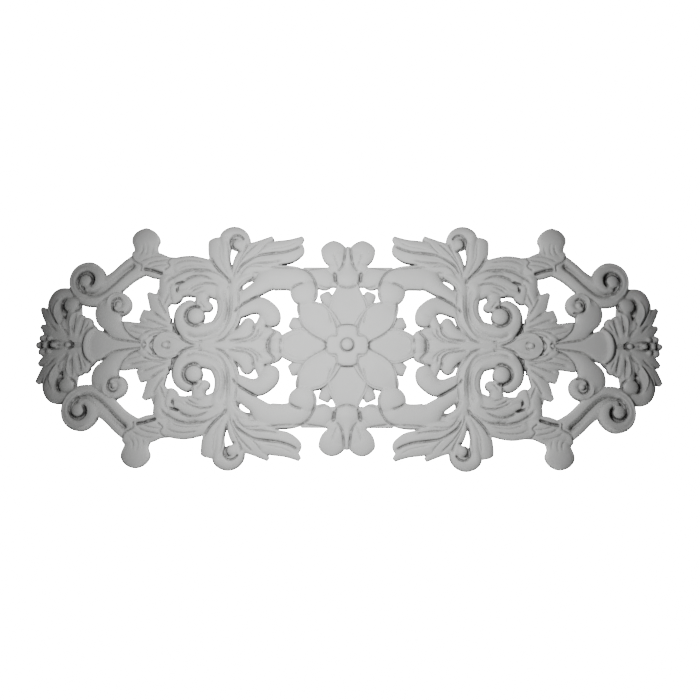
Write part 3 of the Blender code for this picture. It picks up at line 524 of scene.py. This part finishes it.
def loft(whole, name, section, end, points):
    """Adds one member: its section is extruded from frame to frame along the spine."""
    bm = bmesh.new()
    outline = [(-1.0, 0.0), *section, (1.0, 0.0)]
    ring = [bm.verts.new((across, 0.0, share)) for across, share in outline]
    edges = [bm.edges.new(pair) for pair in zip(ring, ring[1:] + ring[:1])]
    ends = list(edges)
    frames = stations(smooth(points), end)
    bmesh.ops.transform(bm, matrix=frames[0], verts=ring)
    for before, after in zip(frames, frames[1:]):
        new = bmesh.ops.extrude_edge_only(bm, edges=edges)["geom"]
        ring = [g for g in new if isinstance(g, bmesh.types.BMVert)]
        fresh = set(ring)
        edges = [g for g in new if isinstance(g, bmesh.types.BMEdge) and fresh.issuperset(g.verts)]
        bmesh.ops.transform(bm, matrix=after @ before.inverted(), verts=ring)
    bmesh.ops.holes_fill(bm, edges=ends + edges)
    add(whole, name, bm)


def boss(whole, name, centre, reach, base, top):
    """Adds a domed button on a straight wall."""
    bm = bmesh.new()
    bmesh.ops.create_uvsphere(bm, u_segments=DOME_SIDES, v_segments=DOME_RINGS, radius=1.0)
    for v in bm.verts:
        x, y, front = v.co
        depth = -(base + (top - base) * front) if front > -SLACK else 0.0
        v.co = (centre[0] + x * reach[0], depth, centre[1] + y * reach[1])
    add(whole, name, bm)


def add(whole, name, bm):
    """Adds one closed shell to the whole, facing out."""
    bmesh.ops.recalc_face_normals(bm, faces=bm.faces)
    mesh = bpy.data.meshes.new(name)
    bm.to_mesh(mesh)
    bm.free()
    whole.from_mesh(mesh)
    bpy.data.meshes.remove(mesh)


def ray(angle, reach, broad, spine):
    """Spine points along a ray from the middle, as shares of the reach and the breadth."""
    a = math.radians(angle)
    return [(math.cos(a) * reach * r, math.sin(a) * reach * r, broad * w, h) for r, w, h in spine]


def members():
    """Every member of the quarter in one mesh, in millimetres."""
    whole = bmesh.new()
    for name, end, height, points in WEBS:
        loft(whole, name, FLAT, end, [(*point, height) for point in points])
    for name, section, end, points in MEMBERS:
        loft(whole, name, section, end, points)
    for name, section, end, leaves, spine in ROSETTE:
        for leaf in leaves:
            loft(whole, name, section, end, ray(*leaf, spine))
    for name, centre, reach, base, top in BUTTONS:
        boss(whole, name, centre, reach, base, top)
    return whole


def modified(bm, *steps):
    """The mesh after a row of modifiers."""
    mesh = bpy.data.meshes.new("work")
    bm.to_mesh(mesh)
    bm.free()
    work = bpy.data.objects.new("work", mesh)
    bpy.context.scene.collection.objects.link(work)
    for kind, settings in steps:
        modifier = work.modifiers.new(kind, kind)
        for name, value in settings.items():
            setattr(modifier, name, value)
    evaluated = work.evaluated_get(bpy.context.evaluated_depsgraph_get())
    fresh = bmesh.new()
    fresh.from_mesh(evaluated.to_mesh())
    evaluated.to_mesh_clear()
    bpy.data.objects.remove(work, do_unlink=True)
    bpy.data.meshes.remove(mesh)
    return fresh


def engrave(bm, relief):
    """Presses the engraved lines into the front, and lifts the raised ones."""
    bm.normal_update()
    verts = list(bm.verts)
    places = np.array([(v.co.x, v.co.z) for v in verts])
    facing = np.array([-v.normal.y for v in verts])
    share = np.clip((facing - FACING_FROM) / FACING_OVER, 0.0, 1.0)
    push = np.zeros(len(verts))
    lift = np.zeros(len(verts))
    for half, deep, fading, points in LINES:
        wide = half * BROAD
        line = np.array(smooth(points))
        along = np.concatenate(([0.0], np.cumsum(np.hypot(*np.diff(line, axis=0).T))))
        left = np.clip(along / FADE, 0.0, 1.0) if fading in ("both", "start") else 1.0
        right = np.clip((along[-1] - along) / FADE, 0.0, 1.0) if fading in ("both", "end") else 1.0
        strength = deep * np.minimum(left, right) * np.ones(len(line))
        low = line.min(0) - wide
        high = line.max(0) + wide
        near = np.nonzero(((places > low) & (places < high)).all(1))[0]
        if not len(near):
            continue
        here = places[near]
        gap = np.full(len(near), np.inf)
        depth = np.zeros(len(near))
        for a, b, c, d in zip(line, line[1:], strength, strength[1:]):
            run = b - a
            t = np.clip(((here - a) @ run) / max(run @ run, SLACK), 0.0, 1.0)
            part = np.hypot(*(here - a - t[:, None] * run).T) / wide
            nearer = part < gap
            gap[nearer] = part[nearer]
            depth[nearer] = (c + (d - c) * t)[nearer]
        amount = depth * np.clip(1.0 - gap, 0.0, 1.0) ** SOFT
        push[near] = np.maximum(push[near], amount)
        lift[near] = np.minimum(lift[near], amount)
    for v, amount in zip(verts, (push + lift) * share * relief):
        v.co.y += amount


def flatten(bm):
    """Lays the back in the wall plane."""
    for v in bm.verts:
        if abs(v.co.y) < FLAT_WITHIN:
            v.co.y = 0.0


def carve(settings):
    """The whole carving as a mesh in metres."""
    bm = modified(members(), ("REMESH", {"mode": "VOXEL", "voxel_size": settings.grain / MM}))
    for _ in range(settings.smoothing):
        bmesh.ops.smooth_vert(bm, verts=bm.verts, factor=RUB, use_axis_x=True, use_axis_y=True,
                              use_axis_z=True)
    engrave(bm, settings.relief)
    flatten(bm)
    # The quarter outward and upward of the middle is kept, thinned out and mirrored both ways
    for normal in (Vector((-1.0, 0.0, 0.0)), Vector((0.0, 0.0, -1.0))):
        geom = [*bm.verts, *bm.edges, *bm.faces]
        bmesh.ops.bisect_plane(bm, geom=geom, dist=MERGED, plane_co=(0.0, 0.0, 0.0), plane_no=normal,
                               clear_outer=True)
    bmesh.ops.triangulate(bm, faces=bm.faces)
    bm = modified(bm, ("DECIMATE", {"ratio": min(1.0, settings.triangles / len(bm.faces))}))
    flatten(bm)
    for v in bm.verts:
        if v.is_boundary:
            v.co = [0.0 if abs(c) < SNAP else c for c in v.co]
    slivers = [f for f in bm.faces if any(all(v.co[axis] == 0.0 for v in f.verts) for axis in (0, 2))]
    bmesh.ops.delete(bm, geom=slivers, context="FACES")
    for axis in "XZ":
        bmesh.ops.mirror(bm, geom=[*bm.verts, *bm.edges, *bm.faces], matrix=Matrix.Identity(4),
                         merge_dist=MERGED, axis=axis)
    bmesh.ops.holes_fill(bm, edges=[e for e in bm.edges if e.is_boundary])
    bmesh.ops.triangulate(bm, faces=bm.faces)
    bmesh.ops.recalc_face_normals(bm, faces=bm.faces)
    bmesh.ops.scale(bm, vec=(MM, MM, MM), verts=bm.verts)
    return bm


class Val:
    """A socket whose sums and products add their Math nodes."""

    def __init__(self, tree, socket):
        self.tree = tree
        self.socket = socket

    def _math(self, operation, a, b):
        return node(self.tree, "ShaderNodeMath", {"operation": operation}, {0: a, 1: b})

    def __add__(self, other):
        return self._math("ADD", self, other)

    __radd__ = __add__

    def __sub__(self, other):
        return self._math("SUBTRACT", self, other)

    def __rsub__(self, other):
        return self._math("SUBTRACT", other, self)

    def __mul__(self, other):
        return self._math("MULTIPLY", self, other)

    __rmul__ = __mul__


def node(tree, kind, settings, sockets, output=0):
    """Adds a node: its settings first, then the values or links of its sockets."""
    made = tree.nodes.new(kind)
    for name, value in settings.items():
        setattr(made, name, value)
    for name, value in sockets.items():
        if isinstance(value, Val):
            tree.links.new(value.socket, made.inputs[name])
        else:
            made.inputs[name].default_value = value
    return Val(tree, made.outputs[output])


def open_to_air(tree, reach):
    """How open the surface is within a reach: 1 on open faces, less in hollows."""
    return node(tree, "ShaderNodeAmbientOcclusion", {"samples": OPEN_SAMPLES, "only_local": True},
                {"Distance": reach}, "AO")


def eased(tree, value, start, end, first, last):
    """A value that goes softly from first to last while the given one goes from start to end."""
    return node(tree, "ShaderNodeMapRange", {"interpolation_type": "SMOOTHSTEP"},
                {"Value": value, "From Min": start, "From Max": end, "To Min": first, "To Max": last})


def primer(finish):
    """Factory-primed casting: matt off-white, a little uneven, with painted shade in creases and on walls."""
    material = bpy.data.materials.new("primed_casting")
    material.use_nodes = True
    tree = material.node_tree
    shader = tree.nodes["Principled BSDF"]
    place = node(tree, "ShaderNodeTexCoord", {}, {}, "Object")
    normal = node(tree, "ShaderNodeTexCoord", {}, {}, "Normal")
    front = node(tree, "ShaderNodeSeparateXYZ", {}, {"Vector": normal}, "Y")
    clouds = node(tree, "ShaderNodeTexNoise", {},
                  {"Vector": place, "Scale": CLOUD_SCALE, "Detail": CLOUD_DETAIL}, "Fac")
    speck = node(tree, "ShaderNodeTexNoise", {},
                 {"Vector": place, "Scale": SPECK_SCALE, "Detail": SPECK_DETAIL}, "Fac")
    # Painted shade: darker in creases, in broad hollows and on steep walls, where shade falls
    crease = eased(tree, open_to_air(tree, finish.reach), *PAINTED_CREASE_OPEN, 1.0, 0.0)
    hollow = 1.0 - open_to_air(tree, finish.reach * PAINTED_HOLLOW_REACH)
    steep = eased(tree, front, *PAINTED_WALL_FACING, 0.0, 1.0)
    # The mix: painted shade, with the primer's own random unevenness, takes the colour towards the dark one
    shade = (crease * finish.crease + steep * finish.edge + clouds * finish.uneven
             + hollow * finish.hollow)
    base = node(tree, "ShaderNodeMix", {"data_type": "RGBA"},
                {"Factor": shade, "A": (*finish.colour, 1.0), "B": (*finish.dark, 1.0)}, 2)
    rough = clouds * CLOUD_ROUGH + (finish.roughness - CLOUD_ROUGH / 2)
    bump = node(tree, "ShaderNodeBump", {},
                {"Strength": finish.grain, "Distance": SPECK_HEIGHT, "Height": speck})
    for name, value in (("Base Color", base), ("Roughness", rough), ("Normal", bump)):
        tree.links.new(value.socket, shader.inputs[name])
    shader.inputs["Specular IOR Level"].default_value = SHINE
    return material


def stage_floor(stage):
    """A plain pale disc below the panel."""
    bm = bmesh.new()
    bmesh.ops.create_circle(bm, cap_ends=True, segments=FLOOR_SIDES, radius=FLOOR_RADIUS)
    bmesh.ops.translate(bm, vec=(0.0, 0.0, -stage.floor_drop), verts=bm.verts)
    mesh = bpy.data.meshes.new("floor")
    bm.to_mesh(mesh)
    bm.free()
    paint = bpy.data.materials.new("pale_floor")
    paint.use_nodes = True
    colour = (FLOOR_GREY, FLOOR_GREY, FLOOR_GREY, 1.0)
    paint.node_tree.nodes["Principled BSDF"].inputs["Base Color"].default_value = colour
    mesh.materials.append(paint)
    return bpy.data.objects.new("floor", mesh)


def surroundings(stage):
    """A white world: bright where the camera sees it, and only a faint light on the panel."""
    world = bpy.data.worlds.new("white_surroundings")
    world.use_nodes = True
    tree = world.node_tree
    seen = node(tree, "ShaderNodeLightPath", {}, {}, "Is Camera Ray")
    strength = seen * (stage.backdrop - stage.fill) + stage.fill
    tree.links.new(strength.socket, tree.nodes["Background"].inputs["Strength"])
    tree.nodes["Background"].inputs["Color"].default_value = (1.0, 1.0, 1.0, 1.0)
    return world


def lamp(context, kind, name, place, power):
    """A lamp that the camera doesn't see, turned to the middle of the panel."""
    made = bpy.data.objects.new(name, bpy.data.lights.new(name, kind))
    made.data.energy = power
    made.location = place
    made.rotation_mode = "QUATERNION"
    made.rotation_quaternion = (-made.location).to_track_quat("-Z", "Y")
    made.visible_camera = False
    context.scene.collection.objects.link(made)
    return made.data


def viewer(stage):
    """The camera, at the photograph's distance, angle and tilt."""
    camera = bpy.data.objects.new("camera", bpy.data.cameras.new("camera"))
    back = Vector((math.sin(stage.azimuth) * math.cos(stage.elevation),
                   -math.cos(stage.azimuth) * math.cos(stage.elevation), math.sin(stage.elevation)))
    camera.data.lens = stage.lens
    camera.data.sensor_width = SENSOR
    camera.location = Vector(stage.aim) + back * stage.distance
    turn = (-back).to_track_quat("-Z", "Y").to_matrix() @ Matrix.Rotation(stage.roll, 3, "Z")
    camera.rotation_mode = "QUATERNION"
    camera.rotation_quaternion = turn.to_quaternion()
    return camera


class CarvingSettings(bpy.types.PropertyGroup):
    grain: bpy.props.FloatProperty(
        name="Grain", description="Size of the smallest fillet between members",
        default=0.0008, min=0.0004, unit="LENGTH", subtype="DISTANCE")
    smoothing: bpy.props.IntProperty(
        name="Smoothing", description="How many times the carving is rubbed down", default=2, min=0)
    relief: bpy.props.FloatProperty(
        name="Line depth", description="Scales the depth of the engraved lines", default=1.25,
        subtype="FACTOR")
    triangles: bpy.props.IntProperty(
        name="Triangles", description="Triangles in one quarter of the carving", default=46000, min=2000)


class FinishSettings(bpy.types.PropertyGroup):
    colour: bpy.props.FloatVectorProperty(
        name="Primer", description="Colour of the primer on open faces", default=(0.78, 0.785, 0.775),
        subtype="COLOR", min=0.0, max=1.0)
    # The dark colour that painted shade and the primer's random unevenness take the primer towards
    dark: bpy.props.FloatVectorProperty(
        name="Crease", description="Colour of the primer in creases and on steep walls",
        default=(0.16, 0.16, 0.16), subtype="COLOR", min=0.0, max=1.0)
    # Painted shade in creases: how dark it is, and how far it reaches
    crease: bpy.props.FloatProperty(
        name="Crease shade", description="How dark the creases are", default=0.6, subtype="FACTOR")
    reach: bpy.props.FloatProperty(
        name="Crease reach", description="How far from a crease its shade is felt", default=0.007,
        unit="LENGTH", subtype="DISTANCE")
    # Painted shade in broad hollows
    hollow: bpy.props.FloatProperty(
        name="Hollow shade", description="How much broad hollows are shaded", default=0.25, subtype="FACTOR")
    # Painted shade on steep walls
    edge: bpy.props.FloatProperty(
        name="Wall shade", description="How dark the steep walls are", default=0.5, subtype="FACTOR")
    uneven: bpy.props.FloatProperty(
        name="Unevenness", description="How uneven the primer is", default=0.06, subtype="FACTOR")
    roughness: bpy.props.FloatProperty(
        name="Roughness", description="Roughness of the primer", default=0.62, subtype="FACTOR")
    grain: bpy.props.FloatProperty(
        name="Fine grain", description="Strength of the fine sprayed texture", default=0.12, subtype="FACTOR")


class StageSettings(bpy.types.PropertyGroup):
    lamp_power: bpy.props.FloatProperty(
        name="Lamp", description="Power of the lamp before the middle", default=11.3, subtype="POWER")
    lamp_size: bpy.props.FloatProperty(
        name="Lamp size", description="Diameter of the lamp", default=0.12, unit="LENGTH", subtype="DISTANCE")
    lamp_place: bpy.props.FloatVectorProperty(
        name="Lamp place", description="Where the lamp stands", default=(-0.07, -0.48, 0.05),
        unit="LENGTH", subtype="TRANSLATION")
    lamp_spread: bpy.props.FloatProperty(
        name="Lamp spread", description="Angle of the lamp's soft cone", default=math.radians(116.0),
        subtype="ANGLE")
    back_power: bpy.props.FloatProperty(
        name="Back lamps", description="Power of each of the two lamps behind the wall plane", default=22.0,
        subtype="POWER")
    back_size: bpy.props.FloatProperty(
        name="Back lamp size", description="Width of the lamps behind the wall plane", default=0.8,
        unit="LENGTH", subtype="DISTANCE")
    back_place: bpy.props.FloatVectorProperty(
        name="Back lamp place", description="Where the right one of the lamps behind the wall plane stands",
        default=(1.1, 0.75, 0.55), unit="LENGTH", subtype="TRANSLATION")
    fill: bpy.props.FloatProperty(
        name="Fill", description="Strength of the even light from all around", default=0.03, min=0.0)
    backdrop: bpy.props.FloatProperty(
        name="Backdrop", description="Brightness of the white backdrop", default=30.0, min=0.0)
    floor_drop: bpy.props.FloatProperty(
        name="Floor", description="How far the floor lies below the panel's middle", default=0.62,
        unit="LENGTH", subtype="DISTANCE")
    azimuth: bpy.props.FloatProperty(
        name="Camera azimuth", description="Camera angle round the panel, from its front",
        default=math.radians(0.92), subtype="ANGLE")
    elevation: bpy.props.FloatProperty(
        name="Camera elevation", description="Camera angle above the horizon",
        default=math.radians(-10.6), subtype="ANGLE")
    roll: bpy.props.FloatProperty(
        name="Camera roll", description="Tilt of the camera about its own axis",
        default=math.radians(0.35), subtype="ANGLE")
    distance: bpy.props.FloatProperty(
        name="Camera distance", description="Distance of the camera from what it is aimed at",
        default=1.27, unit="LENGTH", subtype="DISTANCE")
    aim: bpy.props.FloatVectorProperty(
        name="Camera aim", description="The point that the camera is aimed at",
        default=(0.0038, -0.012, -0.0067), unit="LENGTH", subtype="TRANSLATION")
    lens: bpy.props.FloatProperty(
        name="Lens", description="Focal length in millimetres", default=45.0, subtype="DISTANCE_CAMERA")


class APPLIQUE_OT_carving(bpy.types.Operator):
    """Carve the panel in place of its plain casting"""
    bl_idname = "applique.carving"
    bl_label = "Carve the panel"

    def execute(self, context):
        bm = carve(context.scene.applique_carving)
        if any(not e.is_manifold for e in bm.edges):
            raise RuntimeError("the carving isn't closed")
        bm.normal_update()
        for f in bm.faces:
            f.smooth = f.normal.y < BACK_FACING
        mesh = bpy.data.meshes.new("applique_carving")
        bm.to_mesh(mesh)
        bm.free()
        mesh.materials.append(primer(context.scene.applique_finish))
        panel = bpy.data.objects.new("applique_carving", mesh)
        context.scene.collection.objects.link(panel)
        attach(panel, "root")
        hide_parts("applique")
        return {"FINISHED"}


class APPLIQUE_OT_stage(bpy.types.Operator):
    """Set the floor, the white surroundings, the lamp and the camera"""
    bl_idname = "applique.stage"
    bl_label = "Set the stage"

    def execute(self, context):
        stage = context.scene.applique_stage
        floor = stage_floor(stage)
        context.scene.collection.objects.link(floor)
        context.scene.world = surroundings(stage)

        key = lamp(context, "SPOT", "key_lamp", stage.lamp_place, stage.lamp_power)
        key.shadow_soft_size = stage.lamp_size / 2
        key.spot_size = stage.lamp_spread
        key.spot_blend = 1.0
        x, y, z = stage.back_place
        for name, side in (("left_back_lamp", -x), ("right_back_lamp", x)):
            back_lamp = lamp(context, "AREA", name, (side, y, z), stage.back_power)
            back_lamp.size = stage.back_size

        camera = viewer(stage)
        context.scene.collection.objects.link(camera)
        context.scene.camera = camera
        return {"FINISHED"}


class APPLIQUE_PT_panel(bpy.types.Panel):
    """Sizes, finish and stage of the carved applique"""
    bl_idname = "APPLIQUE_PT_panel"
    bl_label = "Carved applique"
    bl_space_type = "VIEW_3D"
    bl_region_type = "UI"
    bl_category = "Applique"

    def draw(self, context):
        scene = context.scene
        for settings, operator in ((scene.applique_carving, "applique.carving"),
                                   (scene.applique_finish, None), (scene.applique_stage, "applique.stage")):
            box = self.layout.box()
            for name in settings.__annotations__:
                box.prop(settings, name)
            if operator:
                box.operator(operator)


CLASSES = (CarvingSettings, FinishSettings, StageSettings, APPLIQUE_OT_carving, APPLIQUE_OT_stage,
           APPLIQUE_PT_panel)


def register():
    for cls in CLASSES:
        bpy.utils.register_class(cls)
    bpy.types.Scene.applique_carving = bpy.props.PointerProperty(type=CarvingSettings)
    bpy.types.Scene.applique_finish = bpy.props.PointerProperty(type=FinishSettings)
    bpy.types.Scene.applique_stage = bpy.props.PointerProperty(type=StageSettings)


def unregister():
    del bpy.types.Scene.applique_stage
    del bpy.types.Scene.applique_finish
    del bpy.types.Scene.applique_carving
    for cls in reversed(CLASSES):
        bpy.utils.unregister_class(cls)


def main():
    register()
    bpy.ops.applique.carving()
    bpy.ops.applique.stage()


if __name__ == "__main__":
    main()
